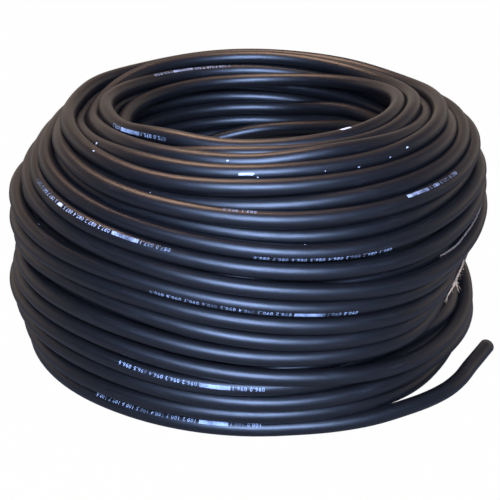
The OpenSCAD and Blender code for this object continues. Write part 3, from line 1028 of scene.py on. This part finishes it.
def figure_mesh(text, height):
    """Flat text as points and triangles, cut into strips so that it can bend round the cable."""
    curve = bpy.data.curves.new("figures", "FONT")
    curve.body = text
    curve.size = height / FIGURE_SHARE
    curve.resolution_u = 2
    curve.offset = height * 0.012
    curve.space_character = 1.2
    holder = bpy.data.objects.new("figures", curve)
    mesh = bpy.data.meshes.new_from_object(holder)
    cutter = bmesh.new()
    cutter.from_mesh(mesh)
    for y in np.arange(STRIP / 2, height, STRIP):
        bmesh.ops.bisect_plane(cutter, geom=cutter.verts[:] + cutter.edges[:] + cutter.faces[:],
                               plane_co=(0, y, 0), plane_no=(0, 1, 0))
    bmesh.ops.triangulate(cutter, faces=cutter.faces[:])
    cutter.to_mesh(mesh)
    cutter.free()
    co = np.empty(len(mesh.vertices) * 3, np.float32)
    corners = np.empty(len(mesh.polygons) * 3, np.int32)
    mesh.vertices.foreach_get("co", co)
    mesh.polygons.foreach_get("vertices", corners)
    for made, shelf in ((holder, bpy.data.objects), (curve, bpy.data.curves), (mesh, bpy.data.meshes)):
        shelf.remove(made)
    return co.reshape(-1, 3)[:, :2].astype(float), corners.reshape(-1, 3)


def grid_mesh(length, height, columns, rows):
    """Flat rectangle from x = 0 and y = 0, as points and four-cornered polygons that face up."""
    x, y = np.meshgrid(np.linspace(0, length, columns + 1), np.linspace(0, height, rows + 1), indexing="ij")
    at = np.arange((columns + 1) * (rows + 1)).reshape(columns + 1, rows + 1)
    corners = np.stack([at[:-1, :-1], at[1:, :-1], at[1:, 1:], at[:-1, 1:]], -1)
    return np.stack([x.ravel(), y.ravel()], -1), corners.reshape(-1, 4)


def length_figures(station, first, count):
    """Running lengths such as 096.1 096.2, one for each tenth of a metre from the first."""
    metre = WHOLE_LENGTH - int(round(station / STATIONS_PER_METRE))
    return " ".join(f"{metre + (first + k) / 10:05.1f}" for k in range(count))


class CABLECOIL_OT_marks(bpy.types.Operator):
    """Printed length figures and bars on the sheath"""
    bl_idname = "cable_coil.marks"
    bl_label = "Print"

    def execute(self, context):
        height = context.scene.coil_sizes.figure_height
        laid, tris, quads = [], [], []

        def lay_on(flat, corners, x, station, angle, twist):
            shift = sum(len(part) for part in laid)
            (tris if corners.shape[1] == 3 else quads).append(corners + shift)
            laid.append(on_sheath(flat + [x, -height / 2], station, angle, twist))

        for station, angle, twist, before, after in PRINT_RUNS:
            half = BAR[0] / 2
            lay_on(*grid_mesh(*BAR, 11, 4), -half, station, angle, twist)
            if before:
                flat, corners = figure_mesh(length_figures(station, 0, before), height)
                lay_on(flat, corners, -half - GAP - flat[:, 0].max(), station, angle, twist)
            if after:
                flat, corners = figure_mesh(length_figures(station, before, after), height)
                lay_on(flat, corners, half + GAP, station, angle, twist)
        for station, angle, count in FIGURE_RUNS:
            lay_on(*figure_mesh(length_figures(station, 1, count), height), 0.0, station, angle, 0.0)
        mesh = mesh_from("print_marks", np.concatenate(laid), [np.concatenate(tris), np.concatenate(quads)])
        add_piece("print_marks", mesh, print_ink(context.scene.coil_colours))
        return {"FINISHED"}


class CABLECOIL_OT_flecks(bpy.types.Operator):
    """Pale flecks and rubbed dashes on the sheath"""
    bl_idname = "cable_coil.flecks"
    bl_label = "Flecks"

    def execute(self, context):
        rng = np.random.default_rng(7)
        sides = FLECK_SIDES
        a = np.arange(sides) * 2 * np.pi / sides
        circle = np.stack([np.cos(a), np.sin(a)], -1)
        j = np.arange(sides)
        k = (j + 1) % sides
        fan = np.concatenate([np.stack([j, k, sides + k], -1), np.stack([j, sides + k, sides + j], -1),
                              np.stack([sides + j, sides + k, np.full(sides, 2 * sides)], -1)])
        lift = np.concatenate([np.full(sides, 0.00002), np.full(sides, 0.00012), [0.00016]])
        laid, fans = [], []
        for station, angle, length, width in FLECKS:
            edge = rng.uniform(0.75, 1.0, sides)[:, None]
            squared = np.sign(circle) * np.abs(circle) ** (0.45 if length > 5 else 0.8)
            ring = squared * [length / 2000, width / 2000] * edge
            fans.append(fan + sum(len(part) for part in laid))
            laid.append(on_sheath(np.concatenate([ring, ring * 0.7, [[0, 0]]]), station, angle, 0.0, lift))
        mesh = mesh_from("pale_flecks", np.concatenate(laid), [np.concatenate(fans)])
        add_piece("pale_flecks", mesh, chalk())
        return {"FINISHED"}


# ---------------------------------------------------------------- the tie
# The twine's middle, as radius in mm, bearing in degrees and height in mm. Its loose end hangs
# below a turn at the right. It climbs over three turns, goes in behind the next ones, comes out
# again further round the back, and lies in a groove above them.
TWINE = [
    (190.0, -35.4, 74.9), (191.5, -35.5, 78.5), (193.0, -35.3, 82.3), (194.1, -35.0, 85.2),
    (194.4, -34.4, 87.3), (194.1, -33.8, 89.0), (193.4, -32.3, 91.1), (192.7, -30.4, 92.6),
    (191.9, -28.5, 93.4), (191.0, -26.6, 94.4), (189.0, -25.0, 96.5), (185.5, -24.0, 100.5),
    (182.0, -21.0, 112.0), (182.0, -14.0, 126.0), (189.0, -11.0, 135.2), (194.3, -11.6, 136.4),
    (195.9, -14.0, 135.2), (195.9, -18.8, 133.1), (195.8, -23.3, 131.0), (195.6, -28.0, 128.4),
    (195.4, -31.2, 126.6), (195.8, -33.8, 125.4), (196.4, -36.2, 124.6), (196.4, -38.4, 123.9),
    (196.0, -40.6, 123.2), (195.2, -43.0, 122.6), (191.5, -46.0, 121.4),
]
TWINE_STEP, TWINE_PITCH = 0.0005, 0.0062
PAINTED_SHADE_SHARE = 0.45                 # share of the twine's length after which it is darker: painted shade where it goes behind turns and lies in the groove
PAINTED_SHADE = (0.30, 0.27, 0.30)     # what the painted shade leaves of its colour
KNOT = (194.5, -34.4, 87.0)    # middle of the knot
KNOT_TURNS, KNOT_PITCH = 2.4, 0.0048
# Tuft at the knot: length of each fibre, and how far it leans along the twine and upwards
TUFT = [(0.0075, -0.35, -0.9), (0.0060, -0.75, -0.35), (0.0050, 0.7, 0.5), (0.0066, 0.25, -1.0),
        (0.0040, -0.9, 0.35)]
LOOSE_FIBRES, LOOSE_SHARE = 34, 0.22    # short fibres, and the share of the twine that they stand on
FRAYED_FIBRES = 9


def plied(path, thickness, pitch):
    """Two plies twisted round each other.

    Ply k runs at path + 0.24 * thickness * (across * cos(a) + up * sin(a)), with
    a = pi * k + 2 * pi * s / pitch, and thins towards both ends.
    """
    s = reach_of(path)
    _, across, up = frame_of(path)
    ends = np.clip(np.minimum(s, s[-1] - s) / 0.002, 0.35, 1.0)
    parts = []
    for k in range(2):
        a = (np.pi * k + 2 * np.pi * s / pitch)[:, None]
        line = path + 0.24 * thickness * (across * np.cos(a) + up * np.sin(a))
        uneven = 1 + 0.10 * np.sin(s * 2100 + 2 * k) + 0.06 * np.sin(s * 5200 + k)
        parts.append(tube(line, 0.27 * thickness * ends * uneven, 8, frame_of(line), s))
    return joined(parts)


def fibre(start, way, length, droop, thickness):
    """One loose fibre: start + way * d - droop * d squared / length, thinning to its tip."""
    d = np.linspace(0, length, 7)
    line = start + np.outer(d, way) - np.outer(droop * d * d / length, [0, 0, 1.0])
    return tube(line, thickness * np.linspace(1.0, 0.35, 7), 5, frame_of(line), d)


def paint_shade_on_yarn(tie, material):
    """Second finish on the polygons past a share of a yarn's length, read from its UVs: a darker copy of its
    finish, painted shade where it lies behind turns and in the groove.
    """
    tie.data.materials.append(material)
    u = np.empty(len(tie.data.loops) * 2, np.float32)
    tie.data.uv_layers[0].data.foreach_get("uv", u)
    first = np.empty(len(tie.data.polygons), np.int32)
    tie.data.polygons.foreach_get("loop_start", first)
    along = u[::2]
    tie.data.polygons.foreach_set("material_index", (along[first] > PAINTED_SHADE_SHARE * along.max()).astype(np.int32))


def tie_fibres(path, near, thickness):
    """Tuft at the knot, short fibres along the first part of the twine, and its frayed end."""
    rng = np.random.default_rng(3)
    t, across, up = (part[near] for part in frame_of(path))
    parts = []
    for length, along, high in TUFT:
        way = unit(0.9 * across + along * t + high * np.array([0, 0, 0.6]))
        parts.append(fibre(path[near] + across * 0.4 * thickness, way, 0.75 * length, 0.5, 0.00026))
    for k in rng.choice(np.arange(10, int(LOOSE_SHARE * len(path))), LOOSE_FIBRES, replace=False):
        t, across, up = (part[k] for part in frame_of(path))
        way = unit(across * rng.uniform(0.5, 1.0) + up * rng.uniform(-0.5, 0.8) + t * rng.uniform(-1.2, 1.2))
        length, droop = rng.uniform(0.0015, 0.0042), rng.uniform(-0.3, 0.7)
        parts.append(fibre(path[k] + across * 0.3 * thickness, way, length, droop, 0.00010))
    t = unit(path[0] - path[8])
    for k in range(FRAYED_FIBRES):
        way = unit(t + rng.uniform(-0.45, 0.45, 3))
        parts.append(fibre(path[2], way, rng.uniform(0.003, 0.006), 0.3, 0.00018))
    return joined(parts)


class CABLECOIL_OT_twine(bpy.types.Operator):
    """The tie: two-ply twine with its knot, a frayed end and loose fibres"""
    bl_idname = "cable_coil.twine"
    bl_label = "Twine"

    def execute(self, context):
        make_fibre_group()
        pale = context.scene.coil_colours.twine
        material = twine_fibre("twine fibre", pale)
        # Painted shade: a darker copy of the twine's finish for its part behind turns and in the groove
        shaded_twine = twine_fibre("twine fibre in painted shade", [left * c for left, c in zip(PAINTED_SHADE, pale)])
        thickness = context.scene.coil_sizes.twine_diameter
        r, bearing, z = np.array(TWINE).T
        path = even(finer(polar(r, bearing, z) / 1000, 8), TWINE_STEP)
        mesh = mesh_from("tie_twine", *plied(path, thickness, TWINE_PITCH))
        tie = add_piece("tie_twine", mesh, material)
        paint_shade_on_yarn(tie, shaded_twine)
        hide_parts("twine_tie")

        near = int(np.argmin(np.linalg.norm(path - polar(*np.array(KNOT)) / 1000, axis=1)))
        t, across, up = (part[near] for part in frame_of(path))
        a = np.linspace(0, 2 * np.pi * KNOT_TURNS, 80)[:, None]
        loop = path[near] + thickness * (0.80 * (across * np.cos(a) + up * np.sin(a))
                                         + 2.0 * (a / a[-1] - 0.5) * t)
        mesh = mesh_from("tie_knot", *plied(loop, 0.8 * thickness, KNOT_PITCH))
        knot = add_piece("tie_knot", mesh, material)
        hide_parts("twine_knot")

        loose = mesh_from("tie_fibres", *tie_fibres(path, near, thickness))
        add_piece("tie_fibres", loose, material)
        return {"FINISHED"}


# ---------------------------------------------------------------- scene settings
class CoilSizes(bpy.types.PropertyGroup):
    cable_diameter: FloatProperty(name="Cable diameter", description="Diameter over the sheath",
                                  default=CABLE_D / 1000, min=0.008, max=0.02, unit="LENGTH")
    twine_diameter: FloatProperty(name="Twine diameter", description="Diameter of the twisted twine",
                                  default=0.0016, min=0.001, max=0.004, unit="LENGTH")
    figure_height: FloatProperty(name="Figure height", description="Height of the printed figures",
                                 default=0.0030, min=0.001, max=0.006, unit="LENGTH")


class CoilColours(bpy.types.PropertyGroup):
    sheath: FloatVectorProperty(name="Sheath", description="Colour of the rubber",
                                default=(0.005, 0.005, 0.0062), min=0, max=1, subtype="COLOR")
    # The brown on the upper side is real dust and also a painted warm sheen
    dust_and_sheen: FloatVectorProperty(name="Dust and painted sheen", description="Colour of the dust and painted warm sheen on the upper side",
                              default=(0.060, 0.040, 0.028), min=0, max=1, subtype="COLOR")
    dust_and_sheen_amount: FloatProperty(name="Dust and sheen amount", description="How much of the upper side the dust and painted sheen cover",
                               default=0.10, min=0, max=1, subtype="FACTOR")
    twine: FloatVectorProperty(name="Twine", description="Colour of the twine",
                               default=(0.72, 0.44, 0.23), min=0, max=1, subtype="COLOR")
    ink: FloatVectorProperty(name="Ink", description="Colour of the printed figures",
                             default=(0.55, 0.62, 0.75), min=0, max=1, subtype="COLOR")


class CABLECOIL_PT_panel(bpy.types.Panel):
    """Sizes, colours and building steps of the coil"""
    bl_idname = "CABLECOIL_PT_panel"
    bl_label = "Cable Coil"
    bl_space_type = "VIEW_3D"
    bl_region_type = "UI"
    bl_category = "Cable Coil"

    def draw(self, context):
        for settings in (context.scene.coil_sizes, context.scene.coil_colours):
            for name in settings.__annotations__:
                self.layout.prop(settings, name)
        for operator in OPERATORS:
            self.layout.operator(operator.bl_idname)


OPERATORS = (CABLECOIL_OT_stage, CABLECOIL_OT_cable, CABLECOIL_OT_cut_ends, CABLECOIL_OT_twine,
             CABLECOIL_OT_marks, CABLECOIL_OT_flecks)
CLASSES = (CoilSizes, CoilColours, *OPERATORS, CABLECOIL_PT_panel)


def register():
    for made in CLASSES:
        bpy.utils.register_class(made)
    bpy.types.Scene.coil_sizes = PointerProperty(type=CoilSizes)
    bpy.types.Scene.coil_colours = PointerProperty(type=CoilColours)


def unregister():
    del bpy.types.Scene.coil_sizes
    del bpy.types.Scene.coil_colours
    for made in reversed(CLASSES):
        bpy.utils.unregister_class(made)


def plain(bounds):
    """Box as lists of plain floats."""
    return [[float(v) for v in corner] for corner in bounds]


def main():
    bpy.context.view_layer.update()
    register()
    bpy.ops.cable_coil.stage()
    bpy.ops.cable_coil.cable()
    bpy.ops.cable_coil.cut_ends()
    bpy.ops.cable_coil.twine()
    bpy.ops.cable_coil.marks()
    bpy.ops.cable_coil.flecks()


if __name__ == "__main__":
    main()
